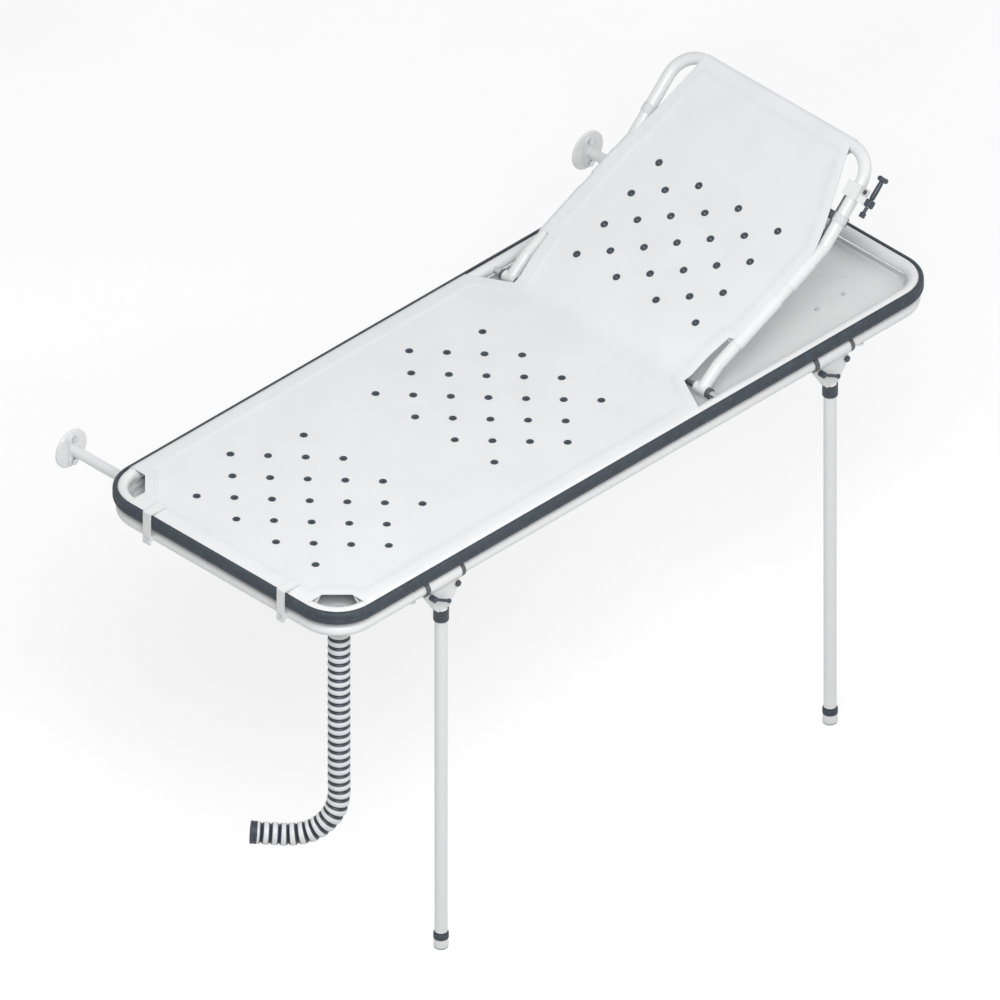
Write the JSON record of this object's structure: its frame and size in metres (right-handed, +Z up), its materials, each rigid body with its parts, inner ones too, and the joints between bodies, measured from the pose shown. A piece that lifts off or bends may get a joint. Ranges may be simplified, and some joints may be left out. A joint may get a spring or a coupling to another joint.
{
  "type": "wall-mounted shower stretcher",
  "caption": "Fold-up shower stretcher hinged on wall brackets, with mesh lying sheet, drip tray, drain hose, adjustable backrest and folding support legs.",
  "frame": {"origin": "centre of the rectangle of four wall screws, on the wall's face", "axes": "+X from the foot end to the head end, +Y into the wall, +Z up; the stretcher reaches out along -Y"},
  "size_m": [1.8756, 0.96, 1.3458],
  "materials": {
    "white_coat": "smooth white powder coat",
    "white_sheet": "white PVC-coated polyester mesh",
    "white_tray": "vacuum-formed white ABS",
    "dark_rubber": "matt dark slate rubber",
    "dark_plastic": "moulded dark slate polyamide",
    "dark_metal": "dark slate coated steel",
    "steel": "stainless, brushed",
    "bush": "grey acetal"
  },
  "bodies": {
    "wall_mount": {"wall_flange_foot": "white_coat", "wall_flange_head": "white_coat", "bracket_arm_foot": "white_coat", "bracket_arm_head": "white_coat", "pivot_bushes": "bush", "wall_screws": "steel"},
    "stretcher": {"lower_frame_foot": "white_coat", "lower_frame_head": "white_coat", "splice_spigots": "steel", "pivot_collars": "bush", "upper_frame": "white_coat", "frame_spacers": "bush", "frame_bolts": "steel", "drip_tray": "white_tray", "tray_rim": "white_tray", "tray_screws": "steel", "edge_bumper": "dark_rubber", "seat_sheet": "white_sheet", "seat_eyelets": "dark_plastic", "hook_wall": "white_coat", "hook_front": "white_coat", "hook_screws": "steel", "hinge_axle": "steel", "axle_collars": "bush", "guide_rail": "steel", "drain_outlet": "white_tray", "leg_stops": "bush"},
    "backrest": {"backrest_lugs": "white_coat", "backrest_rails": "white_coat", "backrest_hoop": "white_coat", "backrest_brace": "white_coat", "backrest_bushes": "bush", "backrest_sheet": "white_sheet", "backrest_eyelets": "dark_plastic", "sheet_straps": "dark_plastic", "release_block": "white_coat", "block_screw": "steel", "release_cable": "bush"},
    "release_handle": {"release_rod": "dark_metal"},
    "prop": {"prop_strut": "steel"},
    "shoe": {"slide_shoe": "bush", "shoe_pin": "steel"},
    "brake": {"brake_plunger": "steel"},
    "leg_foot": {"leg_bracket_foot": "white_coat", "leg_collar_foot": "dark_rubber", "leg_tube_foot": "white_coat", "pinch_bolt_foot": "dark_metal"},
    "leg_head": {"leg_bracket_head": "white_coat", "leg_collar_head": "dark_rubber", "leg_tube_head": "white_coat", "pinch_bolt_head": "dark_metal"},
    "lever_foot": {"clamp_lever_foot": "dark_plastic"},
    "lever_head": {"clamp_lever_head": "dark_plastic"},
    "pad_foot": {"rubber_foot_foot": "dark_rubber"},
    "pad_head": {"rubber_foot_head": "dark_rubber"},
    "hose": {"hose_cuff": "dark_rubber", "drain_hose": "dark_rubber", "hose_end": "dark_rubber"}
  },
  "joints": [
    {"name": "fold", "type": "hinge", "parent": "wall_mount", "child": "stretcher", "pos_m": [0, -0.237, 0.034], "axis": [-1, 0, 0], "range_deg": [0, 90]},
    {"name": "backrest_tilt", "type": "hinge", "parent": "stretcher", "child": "backrest", "pos_m": [0.249, -0.5815, 0.0755], "axis": [0, -1, 0], "range_deg": [-25, 15]},
    {"name": "prop_swing", "type": "hinge", "parent": "backrest", "child": "prop", "pos_m": [0.489, -0.5815, 0.20253], "axis": [0, -1, 0], "range_deg": [-30, 50]},
    {"name": "shoe_pivot", "type": "hinge", "parent": "prop", "child": "shoe", "pos_m": [0.729, -0.5815, 0.0755], "axis": [0, -1, 0], "range_deg": [-25, 15]},
    {"name": "release_pull", "type": "slide", "parent": "backrest", "child": "release_handle", "axis": [0.7094, 0, 0.7048], "range_m": [0, 0.012], "stiffness_N_per_m": 300, "springref_m": -0.004},
    {"name": "brake_lift", "type": "slide", "parent": "shoe", "child": "brake", "axis": [0, 0, 1], "range_m": [0, 0.003]},
    {"name": "leg_fold_foot", "type": "hinge", "parent": "stretcher", "child": "leg_foot", "pos_m": [-0.59, -0.926, 0.034], "axis": [1, 0, 0], "range_deg": [0, 85]},
    {"name": "leg_fold_head", "type": "hinge", "parent": "stretcher", "child": "leg_head", "pos_m": [0.573, -0.926, 0.034], "axis": [1, 0, 0], "range_deg": [0, 85]},
    {"name": "lever_turn_foot", "type": "hinge", "parent": "leg_foot", "child": "lever_foot", "pos_m": [-0.628, -0.941, 0.008], "axis": [0, 1, 0], "range_deg": [0, 90]},
    {"name": "lever_turn_head", "type": "hinge", "parent": "leg_head", "child": "lever_head", "pos_m": [0.535, -0.941, 0.008], "axis": [0, 1, 0], "range_deg": [0, 90]},
    {"name": "foot_level_foot", "type": "slide", "parent": "leg_foot", "child": "pad_foot", "axis": [0, 0, -1], "range_m": [-0.002, 0.015]},
    {"name": "foot_level_head", "type": "slide", "parent": "leg_head", "child": "pad_head", "axis": [0, 0, -1], "range_m": [-0.002, 0.015]},
    {"name": "hose_swing", "type": "hinge", "parent": "stretcher", "child": "hose", "pos_m": [-0.833, -0.864, 0.006], "axis": [1, 0, 0], "range_deg": [0, 70]}
  ],
  "couplings": [
    {"joint": "prop_swing", "follows": "backrest_tilt", "ratio": -2},
    {"joint": "shoe_pivot", "follows": "backrest_tilt", "ratio": 1},
    {"joint": "brake_lift", "follows": "release_pull", "ratio": 0.25},
    {"joint": "hose_swing", "follows": "fold", "ratio": 0.7777}
  ]
}
